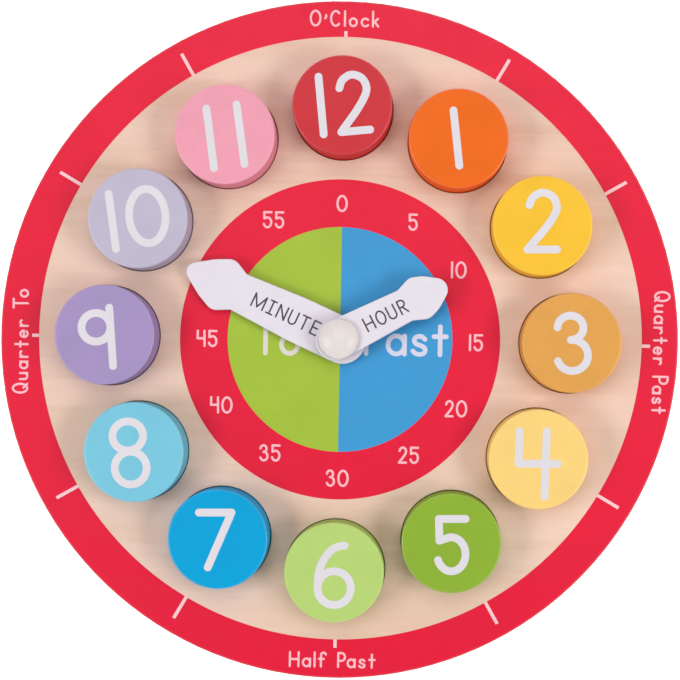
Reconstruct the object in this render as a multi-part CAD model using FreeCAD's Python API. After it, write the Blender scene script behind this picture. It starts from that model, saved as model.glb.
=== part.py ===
import FreeCAD, Part
import math
import os

# Round wooden teaching clock, lying flat on its back.
# Origin: centre of the back face. +Z: out of the face. +Y: twelve o'clock. +X: three o'clock.
# All sizes are in millimetres. Clock angles are in degrees, clockwise from twelve.

# Board: a face panel with twelve pockets cut right through it, glued on a backing board
board_diameter = 290.0
face_thickness = 6.0
backing_thickness = 4.0
board_edge_round = 0.8

# Number blocks: loose turned discs that stand proud of the face, one in each pocket.
# They are as wide as the band inside the rim and the gaps between them allow.
block_count = 12
blocks_to_rim = 26.1
gap_between_blocks = 8.7
block_thickness = 20.0
block_edge_round = 0.9
pocket_clearance = 0.45

# Both hands. The minute hand's tip stays clear of the blocks, and the hour hand is shorter.
minute_tip_to_blocks = 5.6
hour_shorter_by = 20.3
hand_thickness = 4.0
hand_edge_round = 0.4
hand_bore_clearance = 0.05

# Minute hand, from its pivot to its tip. Corner widths are taken before the corners are rounded.
minute_angle = 294.2
minute_root_radius = 9.8
minute_tail = 1.5
minute_taper_start = 19.6
minute_neck_width = 16.6
minute_neck_from_tip = 24.0
minute_head_width = 24.0
minute_head_from_tip = 16.8
minute_cheek_from_tip = 9.4
minute_tip_half_angle = 34.0
minute_tip_round = 4.1

# Hour hand, from its pivot to its tip
hour_angle = 62.2
hour_root_radius = 8.4
hour_tail = 1.5
hour_taper_start = 0.5
hour_neck_width = 14.2
hour_neck_from_tip = 19.6
hour_head_width = 19.4
hour_head_from_tip = 12.8
hour_cheek_from_tip = 7.2
hour_tip_half_angle = 35.4
hour_tip_round = 5.0

# Rounding of the corners that both hands have
taper_round = 30.0
neck_round = 3.0
head_round = 5.0
cheek_round = 16.0

# Pivot bolt, with a button head and a hexagon socket
bolt_diameter = 5.0
bolt_head_diameter = 9.5
bolt_head_height = 2.75
bolt_head_round = 1.2
bolt_end_chamfer = 0.5
bolt_socket_across_flats = 3.0
bolt_socket_depth = 1.6
board_bore_clearance = 0.1

# Thin washers below, between and above the hands
hand_washer_diameter = 14.0
hand_washer_thickness = 0.8
washer_bore_clearance = 0.15

# Lock nut and wide washer, sunk in a recess in the back
nut_across_flats = 8.0
nut_hexagon_height = 3.8
nut_collar_height = 1.2
nut_collar_diameter = 7.2
nut_corner_chamfer = 0.45
back_washer_diameter = 15.0
back_washer_thickness = 1.2
recess_clearance = 0.5
nut_below_back = 0.4

# Domed cap pressed over the bolt head
cap_diameter = 16.8
cap_rim_height = 0.9
cap_rim_round = 0.5
cap_cover_thickness = 1.15

# Heights that follow from the sizes above, from the back face upwards
face_back_z = backing_thickness
face_z = face_back_z + face_thickness
nut_z = nut_below_back
back_washer_z = nut_z + nut_collar_height + nut_hexagon_height
recess_ceiling_z = back_washer_z + back_washer_thickness
minute_z = face_z + hand_washer_thickness
middle_washer_z = minute_z + hand_thickness
hour_z = middle_washer_z + hand_washer_thickness
upper_washer_z = hour_z + hand_thickness
bolt_head_z = upper_washer_z + hand_washer_thickness
bolt_head_top_z = bolt_head_z + bolt_head_height
cap_top_z = bolt_head_top_z + cap_cover_thickness

# Radii and lengths that follow from the sizes above
board_radius = board_diameter / 2
half_step_sine = math.sin(math.pi / block_count)
band_radius = board_radius - blocks_to_rim
block_pitch_radius = (band_radius + gap_between_blocks / 2) / (1 + half_step_sine)
block_radius = band_radius - block_pitch_radius
pocket_radius = block_radius + pocket_clearance
minute_length = block_pitch_radius - block_radius - minute_tip_to_blocks
hour_length = minute_length - hour_shorter_by
bolt_radius = bolt_diameter / 2
bolt_head_radius = bolt_head_diameter / 2
board_bore_radius = bolt_radius + board_bore_clearance
hand_bore_radius = bolt_radius + hand_bore_clearance
washer_bore_radius = bolt_radius + washer_bore_clearance
hand_washer_radius = hand_washer_diameter / 2
back_washer_radius = back_washer_diameter / 2
recess_radius = back_washer_radius + recess_clearance
cap_radius = cap_diameter / 2

# How far a cutting tool runs past the face that it cuts
cut_through = 1.0

# Points and heights closer than this are the same
same_place = 1e-4

ORIGIN = FreeCAD.Vector(0, 0, 0)
UP = FreeCAD.Vector(0, 0, 1)


def cylinder(radius, low_z, high_z, x=0.0, y=0.0):
    """An upright cylinder between two heights."""
    return Part.makeCylinder(radius, high_z - low_z, FreeCAD.Vector(x, y, low_z), UP)


def clock_point(radius, clock_angle):
    """X and Y of a point at a radius and a clock angle."""
    turn = math.radians(clock_angle)
    return radius * math.sin(turn), radius * math.cos(turn)


def rounded_wire(corners):
    """A closed flat wire through corners given as x, y and rounding radius."""
    count = len(corners)
    stretches = []
    for index in range(count):
        x, y, radius = corners[index]
        before_x, before_y = corners[index - 1][:2]
        after_x, after_y = corners[(index + 1) % count][:2]
        corner = FreeCAD.Vector(x, y, 0)
        to_before = (FreeCAD.Vector(before_x, before_y, 0) - corner).normalize()
        to_after = (FreeCAD.Vector(after_x, after_y, 0) - corner).normalize()
        half_angle = to_before.getAngle(to_after) / 2
        setback = radius / math.tan(half_angle)
        inward = (to_before + to_after).normalize()
        start = corner + to_before * setback
        middle = corner + inward * (radius / math.sin(half_angle) - radius)
        end = corner + to_after * setback
        stretches.append((start, middle, end))
    edges = []
    for index in range(count):
        start, middle, end = stretches[index]
        if start.distanceToPoint(end) > same_place:
            edges.append(Part.Arc(start, middle, end).toShape())
        next_start = stretches[(index + 1) % count][0]
        if end.distanceToPoint(next_start) > same_place:
            edges.append(Part.makeLine(end, next_start))
    return Part.Wire(edges)


def prism(corners, low_z, high_z):
    """An upright solid with the outline of the rounded corners."""
    face = Part.Face(rounded_wire(corners))
    solid = face.extrude(FreeCAD.Vector(0, 0, high_z - low_z))
    solid.translate(FreeCAD.Vector(0, 0, low_z))
    return solid


def turned(corners):
    """A solid turned about Z from a half outline given as radius, height and rounding."""
    face = Part.Face(rounded_wire(corners))
    face.rotate(ORIGIN, FreeCAD.Vector(1, 0, 0), 90)
    return face.revolve(ORIGIN, UP, 360)


def rounded_disc(radius, low_z, high_z, low_round, high_round):
    """A turned disc with rounded rims."""
    outline = [
        (0.0, low_z, 0.0),
        (radius, low_z, low_round),
        (radius, high_z, high_round),
        (0.0, high_z, 0.0),
    ]
    return turned(outline)


def level_edges(shape, z):
    """The edges of a shape that lie flat at one height."""
    flat = [edge for edge in shape.Edges if edge.BoundBox.ZLength < same_place]
    return [edge for edge in flat if abs(edge.BoundBox.ZMin - z) < same_place]


def washer(radius, bore_radius, low_z, thickness):
    """A flat ring on the pivot axis."""
    ring = cylinder(radius, low_z, low_z + thickness)
    bore = cylinder(bore_radius, low_z - cut_through, low_z + thickness + cut_through)
    return ring.cut(bore)


def hexagon(across_flats, low_z, high_z):
    """An upright hexagonal prism on the pivot axis."""
    corner_radius = across_flats / 2 / math.cos(math.radians(30))
    corners = []
    for step in range(6):
        x, y = clock_point(corner_radius, 60 * step)
        corners.append((x, y, 0.0))
    return prism(corners, low_z, high_z)


def block_centre(number):
    """X and Y of the pocket for a number from one to the block count."""
    return clock_point(block_pitch_radius, 360.0 / block_count * number)


def face_panel():
    """The front board, with a through pocket for each block and the bolt's bore."""
    panel = rounded_disc(board_radius, face_back_z, face_z, 0.0, board_edge_round)
    for number in range(1, block_count + 1):
        x, y = block_centre(number)
        pocket = cylinder(pocket_radius, face_back_z - cut_through, face_z + cut_through, x, y)
        panel = panel.cut(pocket)
    panel = panel.cut(cylinder(board_bore_radius, 0.0, face_z + cut_through))
    return panel.cut(back_recess())


def backing_board():
    """The plain back board, which closes the pockets."""
    board = rounded_disc(board_radius, 0.0, backing_thickness, board_edge_round, 0.0)
    board = board.cut(cylinder(board_bore_radius, -cut_through, face_z))
    return board.cut(back_recess())


def back_recess():
    """The round hollow in the back that hides the nut and its washer."""
    return cylinder(recess_radius, -cut_through, recess_ceiling_z)


def number_block(number):
    """One loose block, standing on the backing board in its pocket."""
    top_z = backing_thickness + block_thickness
    block = rounded_disc(block_radius, backing_thickness, top_z, block_edge_round, block_edge_round)
    x, y = block_centre(number)
    block.translate(FreeCAD.Vector(x, y, 0))
    return block


def hand(low_z, clock_angle, length, root_radius, tail, taper_start, neck_width, neck_from_tip,
         head_width, head_from_tip, cheek_from_tip, tip_half_angle, tip_round):
    """A flat hand with a round root, a narrow neck and a spade-shaped head."""
    half_angle = math.radians(tip_half_angle)
    apex = length + tip_round * (1 / math.sin(half_angle) - 1)
    cheek = length - cheek_from_tip
    cheek_half_width = (apex - cheek) * math.tan(half_angle)
    side = [
        (-tail - root_radius, root_radius, root_radius),
        (taper_start, root_radius, taper_round),
        (length - neck_from_tip, neck_width / 2, neck_round),
        (length - head_from_tip, head_width / 2, head_round),
        (cheek, cheek_half_width, cheek_round),
    ]
    other_side = [(along, -across, radius) for along, across, radius in reversed(side)]
    outline = side + [(apex, 0.0, tip_round)] + other_side
    high_z = low_z + hand_thickness
    blank = prism(outline, low_z, high_z)
    rims = level_edges(blank, low_z) + level_edges(blank, high_z)
    blank = blank.makeFillet(hand_edge_round, rims)
    bore = cylinder(hand_bore_radius, low_z - cut_through, high_z + cut_through)
    blank = blank.cut(bore)
    blank.rotate(ORIGIN, UP, 90 - clock_angle)
    return blank


def minute_hand():
    """The long hand, under the hour hand."""
    return hand(minute_z, minute_angle, minute_length, minute_root_radius, minute_tail,
                minute_taper_start, minute_neck_width, minute_neck_from_tip,
                minute_head_width, minute_head_from_tip, minute_cheek_from_tip,
                minute_tip_half_angle, minute_tip_round)


def hour_hand():
    """The short hand, on top."""
    return hand(hour_z, hour_angle, hour_length, hour_root_radius, hour_tail,
                hour_taper_start, hour_neck_width, hour_neck_from_tip,
                hour_head_width, hour_head_from_tip, hour_cheek_from_tip,
                hour_tip_half_angle, hour_tip_round)


def pivot_bolt():
    """The bolt that both hands turn on, from its button head down to the nut."""
    shank = turned([
        (0.0, nut_z, 0.0),
        (bolt_radius - bolt_end_chamfer, nut_z, 0.0),
        (bolt_radius, nut_z + bolt_end_chamfer, 0.0),
        (bolt_radius, bolt_head_z, 0.0),
        (0.0, bolt_head_z, 0.0),
    ])
    head = rounded_disc(bolt_head_radius, bolt_head_z, bolt_head_top_z, 0.0, bolt_head_round)
    socket_floor_z = bolt_head_top_z - bolt_socket_depth
    socket = hexagon(bolt_socket_across_flats, socket_floor_z, bolt_head_top_z + cut_through)
    return shank.fuse(head).removeSplitter().cut(socket)


def pivot_cap():
    """The smooth domed cap, hollow underneath to take the bolt head."""
    rim_top_z = bolt_head_z + cap_rim_height
    rise = cap_top_z - rim_top_z
    sphere_radius = (cap_radius ** 2 + rise ** 2) / (2 * rise)
    sphere_centre = FreeCAD.Vector(0, 0, cap_top_z - sphere_radius)
    dome = Part.makeSphere(sphere_radius, sphere_centre)
    drum = rounded_disc(cap_radius, bolt_head_z, cap_top_z + cut_through, 0.0, 0.0)
    body = drum.common(dome)
    body = body.makeFillet(cap_rim_round, level_edges(body, rim_top_z))
    hollow = rounded_disc(bolt_head_radius, bolt_head_z, bolt_head_top_z, 0.0, bolt_head_round)
    return body.cut(hollow)


def lock_nut():
    """The lock nut, with its soft collar towards the back."""
    hexagon_z = nut_z + nut_collar_height
    corner_radius = nut_across_flats / 2 / math.cos(math.radians(30))
    flats = hexagon(nut_across_flats, hexagon_z, back_washer_z)
    chamfered = turned([
        (0.0, hexagon_z, 0.0),
        (corner_radius - nut_corner_chamfer, hexagon_z, 0.0),
        (corner_radius, hexagon_z + nut_corner_chamfer, 0.0),
        (corner_radius, back_washer_z, 0.0),
        (0.0, back_washer_z, 0.0),
    ])
    collar = rounded_disc(nut_collar_diameter / 2, nut_z, hexagon_z, nut_corner_chamfer, 0.0)
    nut = flats.common(chamfered).fuse(collar)
    return nut.cut(cylinder(bolt_radius, nut_z - cut_through, back_washer_z + cut_through))


def export(shape, name):
    """Writes one piece to its own file."""
    shape.exportStep("parts/" + name + ".step")


def build():
    """Makes every piece."""
    export(face_panel(), "face_panel")
    export(backing_board(), "backing_board")
    for number in range(1, block_count + 1):
        export(number_block(number), "number_block_" + str(number))
    export(minute_hand(), "minute_hand")
    export(hour_hand(), "hour_hand")
    export(washer(hand_washer_radius, washer_bore_radius, face_z, hand_washer_thickness),
           "lower_washer")
    export(washer(hand_washer_radius, washer_bore_radius, middle_washer_z, hand_washer_thickness),
           "middle_washer")
    export(washer(hand_washer_radius, washer_bore_radius, upper_washer_z, hand_washer_thickness),
           "upper_washer")
    export(pivot_bolt(), "pivot_bolt")
    export(pivot_cap(), "pivot_cap")
    export(washer(back_washer_radius, washer_bore_radius, back_washer_z, back_washer_thickness),
           "back_washer")
    export(lock_nut(), "lock_nut")


os.makedirs("parts", exist_ok=True)
build()
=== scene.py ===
import math

import bpy
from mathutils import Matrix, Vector
from mathutils.geometry import delaunay_2d_cdt


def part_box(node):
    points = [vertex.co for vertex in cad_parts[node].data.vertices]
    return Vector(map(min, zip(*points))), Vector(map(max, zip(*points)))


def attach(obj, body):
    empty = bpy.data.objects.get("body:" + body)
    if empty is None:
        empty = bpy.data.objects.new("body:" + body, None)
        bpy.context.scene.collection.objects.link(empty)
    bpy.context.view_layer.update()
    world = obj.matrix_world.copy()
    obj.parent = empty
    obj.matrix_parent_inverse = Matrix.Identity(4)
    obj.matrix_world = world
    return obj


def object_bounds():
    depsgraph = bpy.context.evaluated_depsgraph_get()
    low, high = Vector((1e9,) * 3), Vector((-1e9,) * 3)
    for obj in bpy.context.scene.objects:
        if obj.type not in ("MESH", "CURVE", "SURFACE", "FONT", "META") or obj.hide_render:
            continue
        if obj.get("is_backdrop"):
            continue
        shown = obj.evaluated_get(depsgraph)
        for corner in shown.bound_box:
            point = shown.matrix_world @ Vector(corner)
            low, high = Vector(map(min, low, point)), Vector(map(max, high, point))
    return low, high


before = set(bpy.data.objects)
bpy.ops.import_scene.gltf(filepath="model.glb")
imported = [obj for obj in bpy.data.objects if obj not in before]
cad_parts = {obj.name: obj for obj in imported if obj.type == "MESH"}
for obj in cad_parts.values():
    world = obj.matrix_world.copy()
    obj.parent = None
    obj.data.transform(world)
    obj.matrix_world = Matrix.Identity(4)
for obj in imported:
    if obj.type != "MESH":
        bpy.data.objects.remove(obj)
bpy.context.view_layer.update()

# Lengths are in millimetres up to the point where a mesh is made. Clock angles are in degrees,
# clockwise from twelve. Colours are sRGB, from 0 to 255, as they are seen.
MM = 0.001

# Heights of the printed surfaces, from the frame. A print is INK thick and reaches SUNK below its surface.
FACE_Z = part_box("face_panel")[1].z / MM
MINUTE_TOP_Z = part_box("minute_hand")[1].z / MM
HOUR_TOP_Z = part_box("hour_hand")[1].z / MM
BLOCK_TOP_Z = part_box("number_block_12")[1].z / MM
INK = 0.03
SUNK = 0.02

# Outer edge of the outer ring, the band that the pockets lie in, and the plywood's layers
RING_OUTER = 144.15
BAND_RADIUS = 124.0
LAYER = 1.35

# How the clock lies in the picture: the picture's width, the scale at the face, the camera's height above
# the face and the point below it, the picture's turn in degrees, and how far the clock's centre is right of
# and above the picture's
PIXELS = 680
MM_PER_PIXEL = 0.4279
CAMERA_HEIGHT = 650.0
CAMERA_FOOT = (28.0, -14.0)
ROLL = 1.03
BOARD_OFFSET_PIXELS = (-0.5, 0.5)
SENSOR = 36.0


def linear(red, green, blue):
    """Linear RGBA of an sRGB colour."""
    def channel(value):
        share = value / 255
        return share / 12.92 if share <= 0.04045 else ((share + 0.055) / 1.055) ** 2.4
    return (channel(red), channel(green), channel(blue), 1.0)


def clock_point(radius, angle):
    """The point at a radius and a clock angle."""
    turn = math.radians(angle)
    return radius * math.sin(turn), radius * math.cos(turn)


# Flat printed shapes. A circle of up to SMALL_RADIUS has a point every CIRCLE_STEP degrees, and a larger
# one has more. SAME_POINT is how near two points are one.
SMALL_RADIUS = 20.0
CIRCLE_STEP = 6.0
SAME_POINT = 1e-6


def circle(radius, centre=(0.0, 0.0), start=0.0, end=360.0):
    """Points of a circle or an arc, anticlockwise from +X."""
    steps = max(8, int(abs(end - start) * max(1.0, radius / SMALL_RADIUS) / CIRCLE_STEP))
    full = abs(end - start) >= 360
    count = steps if full else steps + 1
    points = []
    for step in range(count):
        turn = math.radians(start + (end - start) * step / steps)
        points.append((centre[0] + radius * math.cos(turn), centre[1] + radius * math.sin(turn)))
    return points


def signed_area(points):
    total = 0.0
    for index, (x, y) in enumerate(points):
        next_x, next_y = points[(index + 1) % len(points)]
        total += x * next_y - next_x * y
    return total / 2


def anticlockwise(points):
    return points if signed_area(points) > 0 else points[::-1]


def union(shapes):
    """Points and triangles of the union of flat shapes, each an outline and its hole or None."""
    points, loops, owner = [], [], []
    for index, (outline, hole) in enumerate(shapes):
        for loop, kind in ((outline, "outline"), (hole, "hole")):
            if loop:
                loop = anticlockwise(loop)
                loops.append(list(range(len(points), len(points) + len(loop))))
                points += [Vector(point) for point in loop]
                owner.append((index, kind))
    flat, _, triangles, _, _, sources = delaunay_2d_cdt(points, [], loops, 1, SAME_POINT, True)
    kept = []
    for triangle, source in zip(triangles, sources):
        covered = {owner[loop] for loop in source}
        if any(kind == "outline" and (index, "hole") not in covered for index, kind in covered):
            kept.append(tuple(triangle))
    used = sorted({corner for triangle in kept for corner in triangle})
    place = {corner: index for index, corner in enumerate(used)}
    renumbered = [tuple(place[corner] for corner in triangle) for triangle in kept]
    return [flat[corner] for corner in used], renumbered


def printed(name, shapes, low_z, high_z, body, material):
    """A thin closed slab that rides on a body: the union of flat shapes, from one height to another."""
    points, triangles = union(shapes)
    count = len(points)
    vertices = [(point.x * MM, point.y * MM, high_z * MM) for point in points]
    vertices += [(point.x * MM, point.y * MM, low_z * MM) for point in points]
    faces = triangles + [(a + count, c + count, b + count) for a, b, c in triangles]
    edges = {(start, end) for a, b, c in triangles for start, end in ((a, b), (b, c), (c, a))}
    rims = [(a, b) for a, b in edges if (b, a) not in edges]
    faces += [(b, a, a + count, b + count) for a, b in sorted(rims)]
    mesh = bpy.data.meshes.new(name)
    mesh.from_pydata(vertices, [], faces)
    mesh.validate()
    mesh.materials.append(material)
    piece = bpy.data.objects.new(name, mesh)
    bpy.context.scene.collection.objects.link(piece)
    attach(piece, body)


# Strokes. A stroke is a list of points, and of arcs written as (x, y, rx, ry, start, end). A curve has
# CURVE_STEPS parts between two points, and an arc has one part every ARC_STEP degrees. A stroke closes on
# itself if its ends lie within CLOSING_SHARE of its width.
CURVE_STEPS = 6
ARC_STEP = 10.0
CLOSING_SHARE = 0.02


def smooth(points):
    """A Catmull-Rom curve through three or more points."""
    padded = [points[0]] + list(points) + [points[-1]]
    curve = []
    for a, b, c, d in zip(padded, padded[1:], padded[2:], padded[3:]):
        for step in range(CURVE_STEPS):
            t = step / CURVE_STEPS
            curve.append(tuple(
                0.5 * (2 * b[k] + (c[k] - a[k]) * t + (2 * a[k] - 5 * b[k] + 4 * c[k] - d[k]) * t ** 2
                       + (3 * b[k] - a[k] - 3 * c[k] + d[k]) * t ** 3) for k in (0, 1)))
    return curve + [tuple(points[-1])]


def stroke_line(stroke):
    """A stroke's middle line."""
    line = []
    for item in stroke:
        if len(item) == 2:
            line.append(item)
            continue
        x, y, rx, ry, start, end = item
        steps = max(4, int(abs(end - start) / ARC_STEP))
        for step in range(steps + 1):
            turn = math.radians(start + (end - start) * step / steps)
            line.append((x + rx * math.cos(turn), y + ry * math.sin(turn)))
    return line


def offset_side(line, distance, closed):
    """The line moved sideways to its left."""
    moved = []
    count = len(line)
    for index in range(count):
        before = line[index - 1] if index or closed else line[index]
        after = line[(index + 1) % count] if index < count - 1 or closed else line[index]
        dx, dy = after[0] - before[0], after[1] - before[1]
        length = math.hypot(dx, dy)
        moved.append((line[index][0] - dy / length * distance, line[index][1] + dx / length * distance))
    return moved


def inked(line, width):
    """The outline, and the hole if it closes on itself, of a round-ended stroke."""
    half = width / 2
    if math.dist(line[0], line[-1]) < CLOSING_SHARE * width:
        loop = anticlockwise(line[:-1])
        return offset_side(loop, -half, True), offset_side(loop, half, True)
    right = offset_side(line, -half, False)
    left = offset_side(line, half, False)
    end_turn = math.degrees(math.atan2(line[-1][1] - line[-2][1], line[-1][0] - line[-2][0]))
    start_turn = math.degrees(math.atan2(line[1][1] - line[0][1], line[1][0] - line[0][0]))
    end_cap = circle(half, line[-1], end_turn - 90, end_turn + 90)
    start_cap = circle(half, line[0], start_turn + 90, start_turn + 270)
    return right[:-1] + end_cap + left[::-1][1:-1] + start_cap, None


# In small letters, a height above TALL_FROM is a share of TALL, the top of the tall letters, and CROSSED is
# the top of the t. Each word has its own ratios of those two tops to the body of the small letters.
TALL = 9.0
TALL_FROM = 6.0
CROSSED = 5.0
RING_RATIOS = (1.97, 1.69)
WORD_SPACE = 0.24

# Digits and capitals are 1 high. Small letters have a body 1 high. Each has its width first. The closed 4
# is for the minutes: its bar ends at the upright. The T is given less than its bar, so that the next letter
# comes closer.
MIDDLE = 0.5
DIGITS = {
    "0": (0.61, [[(0.305, 0.5, 0.305, 0.5, 0, 360)]]),
    "1": (0.0, [[(0, 0), (0, 1)]]),
    "2": (0.46, [[(0.03, 0.78), (0.09, 0.92), (0.24, 1), (0.4, 0.92), (0.46, 0.74), (0.4, 0.56),
                  (0.26, 0.34), (0.13, 0.17), (0, 0)], [(0, 0), (0.46, 0)]]),
    "3": (0.49, [[(0.22, 0.78, 0.2, 0.22, 178, -88)], [(0.25, 0.28, 0.24, 0.28, 94, -158)]]),
    "4": (0.46, [[(0.01, 1), (0, 0.5)], [(0, 0.5), (0.46, 0.5)], [(0.33, 1), (0.31, 0)]]),
    "closed 4": (0.46, [[(0.01, 1), (0, 0.5)], [(0, 0.5), (0.46, 0.5)], [(0.45, 1), (0.473, 0)]]),
    "5": (0.5, [[(0.5, 1), (0.03, 1)], [(0.03, 1), (0.04, 0.6)], [(0.04, 0.585),
                (0.25, 0.325, 0.25, 0.325, 112, -160)]]),
    "6": (0.49, [[(0.4, 1), (0.33, 0.99), (0.22, 0.94), (0.1, 0.78), (0.02, 0.56), (0, 0.3)],
                 [(0.245, 0.285, 0.245, 0.285, 0, 360)]]),
    "7": (0.48, [[(0, 1), (0.48, 1)], [(0.48, 1), (0.13, 0)]]),
    "8": (0.5, [[(0.25, 0.77, 0.24, 0.23, 0, 360)], [(0.25, 0.26, 0.25, 0.26, 0, 360)]]),
    "9": (0.49, [[(0.245, 0.68, 0.245, 0.245, 0, 360)], [(0.49, 1), (0.49, 0)]]),
}
CAPITALS = {
    "C": (0.61, [[(0.32, 0.5, 0.32, 0.5, 46, 314)]]),
    "E": (0.5, [[(0, 0), (0, 1)], [(0, 0), (0.5, 0)], [(0, 0.5), (0.4, 0.5)], [(0, 1), (0.5, 1)]]),
    "H": (0.62, [[(0, 0), (0, 1)], [(0.62, 0), (0.62, 1)], [(0, 0.5), (0.62, 0.5)]]),
    "I": (0.46, [[(0.23, 0), (0.23, 1)], [(0, 0), (0.46, 0)], [(0, 1), (0.46, 1)]]),
    "M": (0.9, [[(0, 0), (0, 1)], [(0, 1), (0.45, 0.08)], [(0.45, 0.08), (0.9, 1)], [(0.9, 1), (0.9, 0)]]),
    "N": (0.62, [[(0, 0), (0, 1)], [(0, 1), (0.62, 0)], [(0.62, 0), (0.62, 1)]]),
    "O": (0.65, [[(0.325, 0.5, 0.325, 0.5, 0, 360)]]),
    "P": (0.36, [[(0, 0), (0, 1)], [(0, 1), (0.22, 1), (0.22, 0.72, 0.26, 0.28, 90, -90), (0, 0.44)]]),
    "Q": (0.62, [[(0.31, 0.5, 0.31, 0.5, 0, 360)], [(0.36, 0.26), (0.62, 0.0)]]),
    "R": (0.52, [[(0, 0), (0, 1)], [(0, 1), (0.22, 1), (0.22, 0.745, 0.27, 0.255, 90, -90), (0, 0.49)],
                 [(0.22, 0.49), (0.52, 0)]]),
    "T": (0.43, [[(0, 1), (0.6, 1)], [(0.3, 1), (0.3, 0)]]),
    "U": (0.56, [[(0, 1), (0, 0.3), (0.28, 0.28, 0.28, 0.28, 180, 360), (0.56, 1)]]),
    "'": (0.06, [[(0.05, 0.71), (0.06, 0.62), (0, 0.5)]]),
}
SMALL = {
    "a": (0.93, [[(0.46, 0.5, 0.46, 0.5, 0, 360)], [(0.92, 1), (0.92, 0)]]),
    "c": (0.83, [[(0.48, 0.5, 0.48, 0.5, 43, 317)]]),
    "e": (0.88, [[(0.02, 0.52), (0.86, 0.52)], [(0.44, 0.5, 0.44, 0.5, 3, 318)]]),
    "f": (0.9, [[(0.25, 0), (0.25, 7.0), (0.33, 8.4), (0.54, TALL), (0.76, 8.7), (0.88, 7.9)],
                [(0, 1), (0.62, 1)]]),
    "k": (0.7, [[(0, 0), (0, TALL)], [(0.64, 1.0), (0.02, 0.42)], [(0.22, 0.6), (0.7, 0)]]),
    "l": (0.0, [[(0, 0), (0, TALL)]]),
    "o": (0.91, [[(0.455, 0.5, 0.455, 0.5, 0, 360)]]),
    "r": (0.76, [[(0, 0), (0, 1)], [(0, 0.5), (0.14, 0.82), (0.4, 1.0), (0.62, 0.98), (0.76, 0.86)]]),
    "s": (0.71, [[(0.66, 0.84), (0.51, 0.97), (0.35, 1.0), (0.15, 0.93), (0.07, 0.75), (0.18, 0.58),
                  (0.38, 0.5), (0.59, 0.41), (0.69, 0.24), (0.6, 0.06), (0.37, 0.0), (0.16, 0.04),
                  (0, 0.18)]]),
    "t": (0.69, [[(0.345, 0), (0.345, CROSSED)], [(0, 1), (0.69, 1)]]),
    "u": (0.84, [[(0, 1), (0, 0.42), (0.42, 0.42, 0.42, 0.42, 180, 360)], [(0.84, 1), (0.84, 0)]]),
}


def small_size(value, ratios):
    """A measure of a small letter, with the tops of tall letters and of the t where a word has them."""
    if value == CROSSED:
        return ratios[1]
    return ratios[0] * value / TALL if value > TALL_FROM else value


def glyph(letter, ratios=RING_RATIOS):
    """Width and strokes of one letter, in units of the height of the capitals."""
    if letter in SMALL:
        width, strokes = SMALL[letter]
        unit = 1 / ratios[0]
        scaled = [[tuple(small_size(value, ratios) * unit for value in item[:4]) + tuple(item[4:])
                   for item in stroke] for stroke in strokes]
        return width * unit, scaled
    return DIGITS.get(letter) or CAPITALS[letter]


def glyph_lines(letter, ratios=RING_RATIOS):
    """Width and middle lines of one letter. A stroke of three or more points alone is a curve."""
    width, strokes = glyph(letter, ratios)
    lines = []
    for stroke in strokes:
        curved = len(stroke) > 2 and all(len(item) == 2 for item in stroke)
        lines.append(smooth(stroke) if curved else stroke_line(stroke))
    return width, lines


def shifted(lines, right, up):
    return [[(x + right, y + up) for x, y in line] for line in lines]


def placed(lines, size, place, turn, width_scale=1.0):
    """Lines scaled, turned anticlockwise and moved."""
    cosine, sine = math.cos(math.radians(turn)), math.sin(math.radians(turn))
    result = []
    for line in lines:
        moved = []
        for x, y in line:
            x, y = x * size * width_scale, y * size
            moved.append((place[0] + x * cosine - y * sine, place[1] + x * sine + y * cosine))
        result.append(moved)
    return result


def word_lines(text, length, size, centre, turn, ratios=RING_RATIOS):
    """The middle lines of a word, spread over a length, centred on a point and turned."""
    widths = [WORD_SPACE if letter == " " else glyph(letter, ratios)[0] for letter in text]
    gap = (length / size - sum(widths)) / max(1, len(text) - 1)
    lines = []
    along = -length / size / 2
    for letter, width in zip(text, widths):
        if letter != " ":
            lines += shifted(glyph_lines(letter, ratios)[1], along, -MIDDLE)
        along += width + gap
    return placed(lines, size, centre, turn)


def ink_strokes(lines, width):
    return [inked(line, width) for line in lines]


# Materials. Most of a noise's values lie between NOISE_LOW and NOISE_HIGH.
NOISE_LOW = 0.3
NOISE_HIGH = 0.7


def new_material(name):
    """A material with its node tree and its shader."""
    material = bpy.data.materials.new(name)
    material.use_nodes = True
    tree = material.node_tree
    shader = tree.nodes["Principled BSDF"]
    return material, tree, shader


def link(tree, source, output, target, socket):
    tree.links.new(source.outputs[output], target.inputs[socket])


def noise(tree, scale, detail=2.0, roughness=0.5, distortion=0.0):
    """The value of noise in the object's own metres, with a scale for each axis."""
    coordinates = tree.nodes.new("ShaderNodeTexCoord")
    mapping = tree.nodes.new("ShaderNodeMapping")
    mapping.inputs["Scale"].default_value = scale
    texture = tree.nodes.new("ShaderNodeTexNoise")
    texture.inputs["Scale"].default_value = 1.0
    texture.inputs["Detail"].default_value = detail
    texture.inputs["Roughness"].default_value = roughness
    texture.inputs["Distortion"].default_value = distortion
    link(tree, coordinates, "Object", mapping, "Vector")
    link(tree, mapping, "Vector", texture, "Vector")
    return texture.outputs["Fac"]


def ramp(tree, value, stops):
    """The colour of a ramp that takes an output. Each stop is a place and an sRGB colour or a grey value."""
    node = tree.nodes.new("ShaderNodeValToRGB")
    elements = node.color_ramp.elements
    while len(elements) < len(stops):
        elements.new(1.0)
    for element, (place, tone) in zip(elements, stops):
        element.position = place
        element.color = linear(*tone) if isinstance(tone, tuple) else (tone, tone, tone, 1.0)
    tree.links.new(value, node.inputs["Fac"])
    return node.outputs["Color"]


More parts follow.
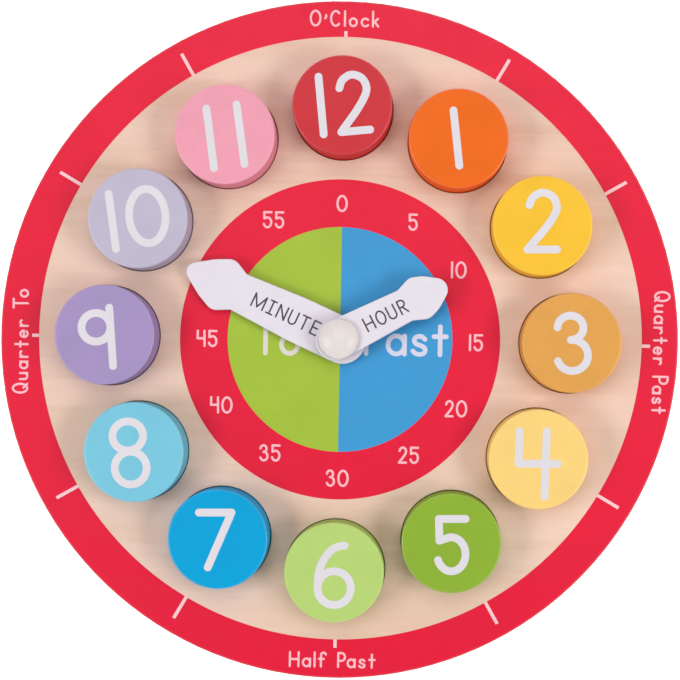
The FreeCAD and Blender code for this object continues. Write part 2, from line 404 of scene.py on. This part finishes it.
def ramp_value(tree, value, from_low, from_high, to_low, to_high):
    """A number moved from one range to another, kept inside it."""
    node = tree.nodes.new("ShaderNodeMapRange")
    node.clamp = True
    tree.links.new(value, node.inputs["Value"])
    ends = {"From Min": from_low, "From Max": from_high, "To Min": to_low, "To Max": to_high}
    for socket, number in ends.items():
        node.inputs[socket].default_value = number
    return node.outputs["Result"]


def tones(tree, value, first, second):
    """The colours from one tone to another, as a noise rises."""
    return ramp(tree, value, [(NOISE_LOW, first), (NOISE_HIGH, second)])


def roughen(tree, shader, value, first, second):
    """Takes the roughness from one number to another, as a noise rises."""
    rough = ramp_value(tree, value, NOISE_LOW, NOISE_HIGH, first, second)
    tree.links.new(rough, shader.inputs["Roughness"])


# A colour mix keeps its factor, colours and result at these places among its sockets.
MIX_FACTOR = 0
MIX_FIRST = 6
MIX_SECOND = 7
MIX_RESULT = 2


def mix(tree, factor, first, second):
    """Mixes two colour outputs. The factor is a number or an output."""
    node = tree.nodes.new("ShaderNodeMix")
    node.data_type = "RGBA"
    if isinstance(factor, float):
        node.inputs[MIX_FACTOR].default_value = factor
    else:
        tree.links.new(factor, node.inputs[MIX_FACTOR])
    tree.links.new(first, node.inputs[MIX_FIRST])
    tree.links.new(second, node.inputs[MIX_SECOND])
    return node.outputs[MIX_RESULT]


def math_node(tree, operation, first, second=None):
    """One step of arithmetic on numbers or outputs."""
    node = tree.nodes.new("ShaderNodeMath")
    node.operation = operation
    for index, value in enumerate((first, second)):
        if value is None:
            continue
        if isinstance(value, float):
            node.inputs[index].default_value = value
        else:
            tree.links.new(value, node.inputs[index])
    return node.outputs[0]


def bump(tree, shader, height, strength, distance):
    """Gives the shader fine relief, with a depth in metres."""
    node = tree.nodes.new("ShaderNodeBump")
    node.inputs["Strength"].default_value = strength
    node.inputs["Distance"].default_value = distance
    tree.links.new(height, node.inputs["Height"])
    link(tree, node, "Normal", shader, "Normal")


def position(tree):
    """The X, Y and Z of a point in the object's own metres."""
    coordinates = tree.nodes.new("ShaderNodeTexCoord")
    split = tree.nodes.new("ShaderNodeSeparateXYZ")
    link(tree, coordinates, "Object", split, "Vector")
    return split.outputs


def levelness(tree):
    """1 on faces that look straight up or down, and 0 on upright ones."""
    geometry = tree.nodes.new("ShaderNodeNewGeometry")
    normal = tree.nodes.new("ShaderNodeSeparateXYZ")
    link(tree, geometry, "Normal", normal, "Vector")
    return math_node(tree, "ABSOLUTE", normal.outputs["Z"])


def shade(colour, factor):
    """A lighter or darker tone of the same colour."""
    return tuple(min(255.0, value * factor) for value in colour)


# The tones of plywood's layers, and the paler tones of a pocket's wall. The pocket's tones are painted
# light, lighter than cut plywood, so the deep narrow gap round a block is not lost in its shade.
# The rim's tint starts and ends this far under the face, and blends over RIM_BLUR.
EDGE_DARK = (138, 98, 68)
EDGE_PALE = (196, 160, 124)
LIT_POCKET_DARK = (226, 172, 132)
LIT_POCKET_PALE = (240, 190, 150)
RIM_START = 0.7
RIM_END = 0.9
RIM_BLUR = 0.1


def wood_material(name, pale, mid, dark, rim=None):
    """Pale plywood: soft grain along X on the flat faces, layers on cut edges, pocket walls paler as painted
    light, and a rim in the ring's red, set lighter as painted light against the shade where the board meets
    the floor.
    """
    material, tree, shader = new_material(name)
    broad = noise(tree, (4.0, 42.0, 42.0), 4.0, 0.55, 0.8)
    fine = noise(tree, (18.0, 420.0, 420.0), 3.0, 0.55)
    flecks = noise(tree, (120.0, 1500.0, 300.0), 1.0, 0.5)
    base = ramp(tree, broad, [(NOISE_LOW, dark), (0.5, mid), (NOISE_HIGH, pale)])
    streak = tones(tree, fine, shade(mid, 0.965), pale)
    grain = mix(tree, 0.3, base, streak)
    fleck_mask = ramp(tree, flecks, [(0.68, 0.0), (0.76, 1.0)])
    fleck_colour = tones(tree, broad, shade(dark, 0.9), shade(dark, 0.94))
    fleck_share = math_node(tree, "MULTIPLY", fleck_mask, 0.3)
    flat = mix(tree, fleck_share, grain, fleck_colour)
    x, y, z = position(tree)
    layer_wave = math_node(tree, "PINGPONG", z, LAYER * MM)
    layers = math_node(tree, "DIVIDE", layer_wave, LAYER * MM)
    layer_noise = math_node(tree, "ADD", layers, math_node(tree, "MULTIPLY", fine, 0.5))
    side = ramp(tree, layer_noise, [(0.35, EDGE_DARK), (0.75, EDGE_PALE)])
    across = math_node(tree, "MULTIPLY", x, x)
    along = math_node(tree, "MULTIPLY", y, y)
    radius = math_node(tree, "SQRT", math_node(tree, "ADD", across, along))
    # Painted light: the pocket walls take paler tones than cut plywood, so the narrow gap round a block
    # shows brown rather than black
    in_pocket = math_node(tree, "LESS_THAN", radius, BAND_RADIUS * MM)
    lit_pocket = tones(tree, fine, LIT_POCKET_DARK, LIT_POCKET_PALE)
    walls = mix(tree, in_pocket, side, lit_pocket)
    side_share = ramp_value(tree, levelness(tree), 0.55, 0.97, 1.0, 0.0)
    colour = mix(tree, side_share, flat, walls)
    # The rim is the ring's red carried over the rounded edge, set lighter than the ink as painted light
    # against the shade at the floor
    if rim:
        outside = ramp_value(tree, radius, (RING_OUTER - RIM_BLUR) * MM, RING_OUTER * MM, 0.0, 1.0)
        above = ramp_value(tree, z, (FACE_Z - RIM_END) * MM, (FACE_Z - RIM_START) * MM, 0.0, 1.0)
        lightened_rim = tones(tree, fine, shade(rim, 0.95), rim)
        colour = mix(tree, math_node(tree, "MULTIPLY", outside, above), colour, lightened_rim)
    tree.links.new(colour, shader.inputs["Base Color"])
    roughen(tree, shader, fine, 0.54, 0.46)
    shader.inputs["Specular IOR Level"].default_value = 0.25
    bump(tree, shader, fine, 0.08, 0.0002)
    return material


def deeper(colour, strength):
    """A stronger tone of the same colour."""
    middle = sum(colour) / 3
    return tuple(min(255.0, max(0.0, middle + (value - middle) * strength)) for value in colour)


def paint_material(name, colour, side=0.96, roughness=0.42):
    """Satin paint on turned wood, a touch uneven, with faint turning lines down the side, and the side in a
    deeper, slightly darker tone than the top as painted shade.
    """
    material, tree, shader = new_material(name)
    # Painted shade: the upright side takes a deeper tone, darkened by the factor side, while the top keeps
    # the paint's colour
    side_colour_shaded = deeper(colour, 1.2)
    cloud = noise(tree, (70.0, 70.0, 70.0), 3.0, 0.6)
    grain = noise(tree, (40.0, 1100.0, 1100.0), 2.0, 0.5)
    turning = noise(tree, (6.0, 6.0, 1500.0), 2.0, 0.6)
    top = tones(tree, cloud, shade(colour, 0.985), shade(colour, 1.012))
    painted_shade_side = tones(tree, turning, shade(side_colour_shaded, side * 0.95), shade(side_colour_shaded, side * 1.03))
    level = levelness(tree)
    side_share = ramp_value(tree, level, 0.3, 0.8, 1.0, 0.0)
    tree.links.new(mix(tree, side_share, top, painted_shade_side), shader.inputs["Base Color"])
    roughen(tree, shader, cloud, roughness + 0.05, roughness - 0.05)
    # The rounded edge shines most, the flat top less and the side least
    shine = ramp_value(tree, level, 0.15, 0.5, 0.03, 0.7)
    flat_share = ramp_value(tree, level, 0.93, 0.995, 1.0, 0.2)
    tree.links.new(math_node(tree, "MULTIPLY", shine, flat_share), shader.inputs["Specular IOR Level"])
    peel = math_node(tree, "MULTIPLY", noise(tree, (900.0, 900.0, 900.0), 1.0, 0.5), 0.5)
    bump(tree, shader, math_node(tree, "ADD", peel, grain), 0.06, 0.0001)
    return material


def ink_material(name, colour, uneven=0.02):
    """Screen-printed ink: thin, satin and slightly uneven."""
    material, tree, shader = new_material(name)
    cloud = noise(tree, (45.0, 60.0, 60.0), 4.0, 0.65)
    weave = noise(tree, (700.0, 700.0, 700.0), 1.0, 0.5)
    tone = tones(tree, cloud, shade(colour, 1 - uneven), shade(colour, 1 + uneven / 2))
    tree.links.new(tone, shader.inputs["Base Color"])
    roughen(tree, shader, cloud, 0.49, 0.41)
    shader.inputs["Specular IOR Level"].default_value = 0.3
    bump(tree, shader, weave, 0.05, 0.00005)
    return material


def steel_material(name):
    """Bright zinc plate with fine turning marks."""
    material, tree, shader = new_material(name)
    marks = noise(tree, (500.0, 500.0, 4000.0), 2.0, 0.6)
    tone = tones(tree, marks, (172, 176, 182), (206, 208, 210))
    tree.links.new(tone, shader.inputs["Base Color"])
    shader.inputs["Metallic"].default_value = 1.0
    roughen(tree, shader, marks, 0.38, 0.24)
    bump(tree, shader, marks, 0.08, 0.00005)
    return material


def plastic_material(name, colour, roughness, subsurface):
    """Moulded plastic, slightly cloudy."""
    material, tree, shader = new_material(name)
    cloud = noise(tree, (160.0, 160.0, 160.0), 2.0, 0.5)
    tone = tones(tree, cloud, shade(colour, 0.985), shade(colour, 1.01))
    tree.links.new(tone, shader.inputs["Base Color"])
    roughen(tree, shader, cloud, roughness + 0.03, roughness - 0.03)
    shader.inputs["Subsurface Weight"].default_value = subsurface
    shader.inputs["Subsurface Radius"].default_value = (0.002, 0.0015, 0.001)
    shader.inputs["Subsurface Scale"].default_value = 1.0
    shader.inputs["Specular IOR Level"].default_value = 0.25
    return material


BLOCK_COLOURS = {
    1: ("orange", (224, 99, 18)), 2: ("yellow", (233, 183, 49)), 3: ("ochre", (212, 153, 75)),
    4: ("pale_yellow", (234, 198, 116)), 5: ("green", (133, 166, 50)), 6: ("lime", (172, 199, 110)),
    7: ("blue", (0, 152, 203)), 8: ("sky_blue", (114, 186, 208)), 9: ("violet", (156, 137, 182)),
    10: ("lavender", (180, 173, 193)), 11: ("pink", (225, 150, 168)), 12: ("crimson", (193, 49, 57)),
}

# The face's last colour is its rim: red paint, lightened as painted light
wood = wood_material("plywood_face", (229, 200, 185), (221, 188, 169), (212, 175, 152), (216, 58, 74))
back_wood = wood_material("plywood_back", (222, 192, 160), (212, 180, 146), (200, 166, 132))
hand_paint = paint_material("hand_paint", (217, 211, 220), 0.97, 0.38)
cap_plastic = plastic_material("cap_plastic", (217, 209, 206), 0.28, 0.1)
nylon = plastic_material("nylon", (226, 226, 220), 0.4, 0.2)
steel = steel_material("zinc_plate")
red_ink = ink_material("red_ink", (218, 6, 50))
green_ink = ink_material("green_ink", (155, 182, 52))
blue_ink = ink_material("blue_ink", (53, 145, 200))
to_ink = ink_material("to_ink", (213, 205, 201))
past_ink = ink_material("past_ink", (203, 204, 222))
white_ink = ink_material("white_ink", (239, 193, 198))
thin_ink = ink_material("thin_ink", (239, 180, 190))
dark_ink = ink_material("dark_ink", (72, 62, 68), 0.06)
number_ink = ink_material("number_ink", (211, 207, 213), 0.015)


def finish_node(node, material):
    """Gives a CAD node its material, and leaves its shape as it is."""
    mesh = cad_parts[node].data
    mesh.materials.clear()
    mesh.materials.append(material)


finish_node("face_panel", wood)
finish_node("backing_board", back_wood)
finish_node("minute_hand", hand_paint)
finish_node("hour_hand", hand_paint)
finish_node("pivot_cap", cap_plastic)
for node in ("lower_washer", "middle_washer", "upper_washer"):
    finish_node(node, nylon)
for node in ("pivot_bolt", "lock_nut", "back_washer"):
    finish_node(node, steel)
for number, (colour_name, colour) in BLOCK_COLOURS.items():
    finish_node("number_block_" + str(number), paint_material("paint_" + colour_name, colour))

# Prints on the board: the outer ring, the dial's ring and its two halves. The ring's inner edge and the dial
# lie a little off the board's centre. The halves stay clear of the lower washer.
RING_INNER = 128.9
RING_SHIFT = (0.41, 0.59)
DIAL_OUTER = 68.5
DISC_RADIUS = 48.1
DIAL_SHIFT = (0.24, 0.04)
WASHER_CLEAR = 7.1

# Heights of the prints on wood, and of the top of those on ink
low = FACE_Z - SUNK
ink_top = FACE_Z + INK
over = ink_top + INK

printed("print_outer_ring", [(circle(RING_OUTER), circle(RING_INNER, RING_SHIFT))],
        low, ink_top, "board", red_ink)
printed("print_dial_ring", [(circle(DIAL_OUTER, DIAL_SHIFT), circle(DISC_RADIUS, DIAL_SHIFT))],
        low, ink_top, "board", red_ink)
left_half = circle(DISC_RADIUS, DIAL_SHIFT, 90, 270) + circle(WASHER_CLEAR, DIAL_SHIFT, 270, 90)
right_half = circle(DISC_RADIUS, DIAL_SHIFT, -90, 90) + circle(WASHER_CLEAR, DIAL_SHIFT, 90, -90)
printed("print_to_half", [(left_half, None)], low, ink_top, "board", green_ink)
printed("print_past_half", [(right_half, None)], low, ink_top, "board", blue_ink)

# Ticks, one for each hour, from the outer ring's inner edge outwards. Their own centre lies a little lower
# than the ring's.
HOURS = 12
TICK_WIDTH = 1.4
LONG_TICK = 10.5
SHORT_TICKS = {0: 2.5, 3: 3.6, 6: 3.6, 9: 3.0}
TICKS_LOWER = 1.1
ticks = []
for number in range(HOURS):
    angle = 360 / HOURS * number
    inner = RING_INNER + TICKS_LOWER * math.cos(math.radians(angle))
    outer = inner + SHORT_TICKS.get(number, LONG_TICK)
    side_x, side_y = clock_point(TICK_WIDTH / 2, angle + 90)
    outline = []
    for radius, side in ((inner, -1), (inner, 1), (outer, 1), (outer, -1)):
        x, y = clock_point(radius, angle)
        outline.append((RING_SHIFT[0] + x + side * side_x, RING_SHIFT[1] - TICKS_LOWER + y + side * side_y))
    ticks.append((outline, None))
printed("print_ticks", ticks, low, over, "board", white_ink)


def picture_step(right, up, scale):
    """The millimetres along X and Y of a step in pixels, as the picture is turned by ROLL."""
    cosine, sine = math.cos(math.radians(ROLL)), math.sin(math.radians(ROLL))
    return scale * (right * cosine - up * sine), scale * (right * sine + up * cosine)


def picture_point(x, y):
    """The millimetre point of the face that is seen at a pixel."""
    right = (x - PIXELS / 2) - BOARD_OFFSET_PIXELS[0]
    up = (PIXELS / 2 - y) - BOARD_OFFSET_PIXELS[1]
    return picture_step(right, up, MM_PER_PIXEL)


# Words on the outer ring: text, where its middle is in the picture, length, height of its capitals, turn
# and ratios
RING_STROKE = 0.92
DIAL_STROKE = 2.0
WORDS = {
    "print_oclock": ("O'Clock", (344.6, 18.6), 28.9, 6.3, 0.0, (1.93, 1.69)),
    "print_half_past": ("Half Past", (332.2, 659.8), 36.2, 5.95, -0.2, (1.81, 1.7)),
    "print_quarter_past": ("Quarter Past", (661.0, 352.5), 51.7, 6.2, -90.4, RING_RATIOS),
    "print_quarter_to": ("Quarter To", (20.5, 341.3), 43.9, 6.1, 90.5, RING_RATIOS),
}
for name, (text, (x, y), length, height, turn, ratios) in WORDS.items():
    lines = word_lines(text, length, height, picture_point(x, y), turn, ratios)
    printed(name, ink_strokes(lines, RING_STROKE), ink_top - SUNK, over, "board", thin_ink)

# Words on the dial's halves: text, where its middle is in the picture, length and ink
DIAL_RATIOS = (2.1, 1.55)
DIAL_CAPITAL_HEIGHT = 16.2
DIAL_WORDS = {
    "print_to": ("To", (276.2, 334.2), 18.7, to_ink),
    "print_past": ("Past", (406.4, 335.2), 34.3, past_ink),
}
for name, (text, (x, y), length, ink) in DIAL_WORDS.items():
    lines = word_lines(text, length, DIAL_CAPITAL_HEIGHT, picture_point(x, y), 0.0, DIAL_RATIOS)
    printed(name, ink_strokes(lines, DIAL_STROKE), ink_top - SUNK, over, "board", ink)

# Minutes round the dial, each where its middle is in the picture. The hand hides the place of 50.
MINUTES = {
    0: (342.1, 203.5), 5: (413.0, 222.2), 10: (458.8, 270.0), 15: (476.0, 342.8), 20: (455.9, 408.8),
    25: (408.5, 455.2), 30: (337.1, 478.2), 35: (269.8, 452.9), 40: (221.3, 404.9), 45: (207.0, 338.4),
    50: (224.0, 270.5), 55: (273.5, 219.8),
}
MINUTE_HEIGHT = 6.45
MINUTE_STROKE = 0.95
DIGIT_GAP = 0.29
for minutes, (x, y) in MINUTES.items():
    digits = ["closed 4" if digit == "4" else digit for digit in str(minutes)]
    widths = [glyph(digit)[0] for digit in digits]
    length = (sum(widths) + DIGIT_GAP * (len(digits) - 1)) * MINUTE_HEIGHT
    lines = word_lines(digits, length, MINUTE_HEIGHT, picture_point(x, y), 0)
    printed("print_minute_" + str(minutes), ink_strokes(lines, MINUTE_STROKE), ink_top - SUNK, over,
            "board", thin_ink)

# Numerals on the blocks: the digit, its middle in picture pixels right of and below the middle of the
# block's top, its width and height in the same pixels, and its turn
NUMERAL_STROKE = 3.25
BLOCK_SCALE = MM_PER_PIXEL * (CAMERA_HEIGHT - (BLOCK_TOP_Z - FACE_Z)) / CAMERA_HEIGHT
NUMERALS = {
    1: [("1", -2.2, -0.3, 0.0, 55.5, 6.0)],
    2: [("2", -0.5, -4.5, 29.4, 57.0, 0.0)],
    3: [("3", 0.2, 0.3, 31.8, 55.4, 0.0)],
    4: [("4", -0.4, 4.5, 39.0, 65.0, -0.6)],
    5: [("5", 0.0, 1.8, 28.4, 52.4, 0.0)],
    6: [("6", 0.3, 2.8, 33.4, 59.4, 0.0)],
    7: [("7", -2.3, 0.8, 32.6, 54.8, 0.0)],
    8: [("8", -4.2, 0.9, 32.0, 63.2, 5.3)],
    9: [("9", -7.6, 3.2, 29.0, 58.4, 3.8)],
    10: [("1", -25.4, 3.2, 0.0, 55.4, 7.7), ("0", 9.6, -2.2, 36.4, 54.4, 5.0)],
    11: [("1", -14.6, 4.2, 0.0, 60.0, 7.3), ("1", 15.7, 0.1, 0.0, 60.1, 7.6)],
    12: [("1", -21.2, 0.6, 0.0, 57.8, 5.2), ("2", 11.0, -2.2, 29.0, 56.4, 5.0)],
}
for number, digits in NUMERALS.items():
    shapes = []
    low_corner, high_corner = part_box("number_block_" + str(number))
    middle = ((low_corner.x + high_corner.x) / 2 / MM, (low_corner.y + high_corner.y) / 2 / MM)
    for digit, right, down, wide, high, turn in digits:
        width, lines = glyph_lines(digit)
        height = high * BLOCK_SCALE
        stretch = wide / high / width if width else 1.0
        dx, dy = picture_step(right, -down, BLOCK_SCALE)
        place = (middle[0] + dx, middle[1] + dy)
        lines = placed(shifted(lines, -width / 2, -MIDDLE), height, place, turn + ROLL, stretch)
        shapes += ink_strokes(lines, NUMERAL_STROKE)
    printed("numeral_" + str(number), shapes, BLOCK_TOP_Z - SUNK, BLOCK_TOP_Z + INK,
            "number_block_" + str(number), number_ink)

# Letters on the hands: each letter, and how far its middle is from the pivot. A word that reads away from
# the pivot is turned by OUTWARDS from its hand's angle, and one that reads towards it by INWARDS.
OUTWARDS = 90.0
INWARDS = 270.0
HAND_STROKE = 0.7
HAND_LETTER_HEIGHT = 5.7
HAND_WORDS = {
    "print_hour": ("hour_hand", 62.2, OUTWARDS, HOUR_TOP_Z,
                   (("H", 14.5), ("O", 20.0), ("U", 25.1), ("R", 30.2))),
    "print_minute_word": ("minute_hand", 294.2, INWARDS, MINUTE_TOP_Z,
                          (("M", 37.5), ("I", 31.7), ("N", 26.7), ("U", 21.5), ("T", 16.7), ("E", 11.1))),
}
for name, (hand, angle, reading, top_z, letters) in HAND_WORDS.items():
    shapes = []
    for letter, along in letters:
        width, lines = glyph_lines(letter)
        lines = shifted(lines, -width / 2, -MIDDLE)
        lines = placed(lines, HAND_LETTER_HEIGHT, clock_point(along, angle), reading - angle)
        shapes += ink_strokes(lines, HAND_STROKE)
    printed(name, shapes, top_z - SUNK, top_z + INK, hand, dark_ink)

# The floor, in metres: flat round the clock, and rising far away, behind it in low views
FLAT_RADIUS = 4.0
EDGE_RADIUS = 7.0
EDGE_RISE = 1.8
FLOOR_SIDES = 64
FLOOR_RINGS = 8
FLOOR_GAP = 0.0003
FLOOR_ROUGHNESS = 0.9
FLOOR_GLOW = 0.64
floor_points = []
floor_faces = [tuple(range(FLOOR_SIDES))]
for ring in range(FLOOR_RINGS + 1):
    share = ring / FLOOR_RINGS
    radius = FLAT_RADIUS + (EDGE_RADIUS - FLAT_RADIUS) * share
    floor_points += [(x, y, EDGE_RISE * share ** 2) for x, y in
                     (clock_point(radius, -360 * side / FLOOR_SIDES) for side in range(FLOOR_SIDES))]
for ring in range(FLOOR_RINGS):
    for side in range(FLOOR_SIDES):
        here = ring * FLOOR_SIDES + side
        beside = ring * FLOOR_SIDES + (side + 1) % FLOOR_SIDES
        floor_faces.append((here, here + FLOOR_SIDES, beside + FLOOR_SIDES, beside))
floor_mesh = bpy.data.meshes.new("floor")
floor_mesh.from_pydata(floor_points, [], floor_faces)
floor_mesh.shade_smooth()
floor = bpy.data.objects.new("floor", floor_mesh)
floor.location.z = -FLOOR_GAP
bpy.context.scene.collection.objects.link(floor)
floor_material, floor_tree, floor_shader = new_material("floor_paper")
paper = noise(floor_tree, (30.0, 30.0, 30.0), 2.0, 0.5)
paper_tone = tones(floor_tree, paper, (247, 247, 247), (250, 250, 250))
floor_tree.links.new(paper_tone, floor_shader.inputs["Base Color"])
floor_shader.inputs["Roughness"].default_value = FLOOR_ROUGHNESS
floor_shader.inputs["Emission Color"].default_value = (1.0, 1.0, 1.0, 1.0)
floor_shader.inputs["Emission Strength"].default_value = FLOOR_GLOW
floor_mesh.materials.append(floor_material)
floor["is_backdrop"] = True


def softbox(name, place, width, depth, power):
    """A rectangular light aimed at the clock, in metres and watts."""
    data = bpy.data.lights.new(name, "AREA")
    data.shape = "RECTANGLE"
    data.size = width
    data.size_y = depth
    data.energy = power
    lamp = bpy.data.objects.new(name, data)
    lamp.location = place
    lamp.rotation_euler = Vector(place).to_track_quat("Z", "Y").to_euler()
    bpy.context.scene.collection.objects.link(lamp)


# Each light's place, width, depth and power
LIGHTS = {
    "softbox_left": ((-1.15, -0.3, 1.1), 0.9, 0.45, 10.6),
    "softbox_right": ((1.15, -0.3, 1.1), 0.9, 0.45, 11.15),
    "softbox_top": ((0.0, 0.65, 1.5), 1.2, 0.9, 7.5),
}
for name, (place, width, depth, power) in LIGHTS.items():
    softbox(name, place, width, depth, power)

WORLD_GLOW = 0.37
world = bpy.data.worlds.new("studio")
world.use_nodes = True
world.node_tree.nodes["Background"].inputs["Color"].default_value = (1.0, 1.0, 1.0, 1.0)
world.node_tree.nodes["Background"].inputs["Strength"].default_value = WORLD_GLOW
bpy.context.scene.world = world
bpy.context.scene.view_settings.view_transform = "Standard"
bpy.context.scene.view_settings.look = "None"

# The camera looks straight down. Its lens is shifted so that the clock stays in the middle.
camera_data = bpy.data.cameras.new("camera")
camera_data.sensor_fit = "HORIZONTAL"
camera_data.sensor_width = SENSOR
camera_data.lens = CAMERA_HEIGHT / MM_PER_PIXEL / PIXELS * SENSOR
turn = math.radians(ROLL)
foot_right = CAMERA_FOOT[0] * math.cos(turn) + CAMERA_FOOT[1] * math.sin(turn)
foot_up = CAMERA_FOOT[1] * math.cos(turn) - CAMERA_FOOT[0] * math.sin(turn)
camera_data.shift_x = (-BOARD_OFFSET_PIXELS[0] - foot_right / MM_PER_PIXEL) / PIXELS
camera_data.shift_y = (-BOARD_OFFSET_PIXELS[1] - foot_up / MM_PER_PIXEL) / PIXELS
camera = bpy.data.objects.new("camera", camera_data)
camera.location = (CAMERA_FOOT[0] * MM, CAMERA_FOOT[1] * MM, (FACE_Z + CAMERA_HEIGHT) * MM)
camera.rotation_euler = (0.0, 0.0, turn)
bpy.context.scene.collection.objects.link(camera)
bpy.context.scene.camera = camera

low_corner, high_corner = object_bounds()
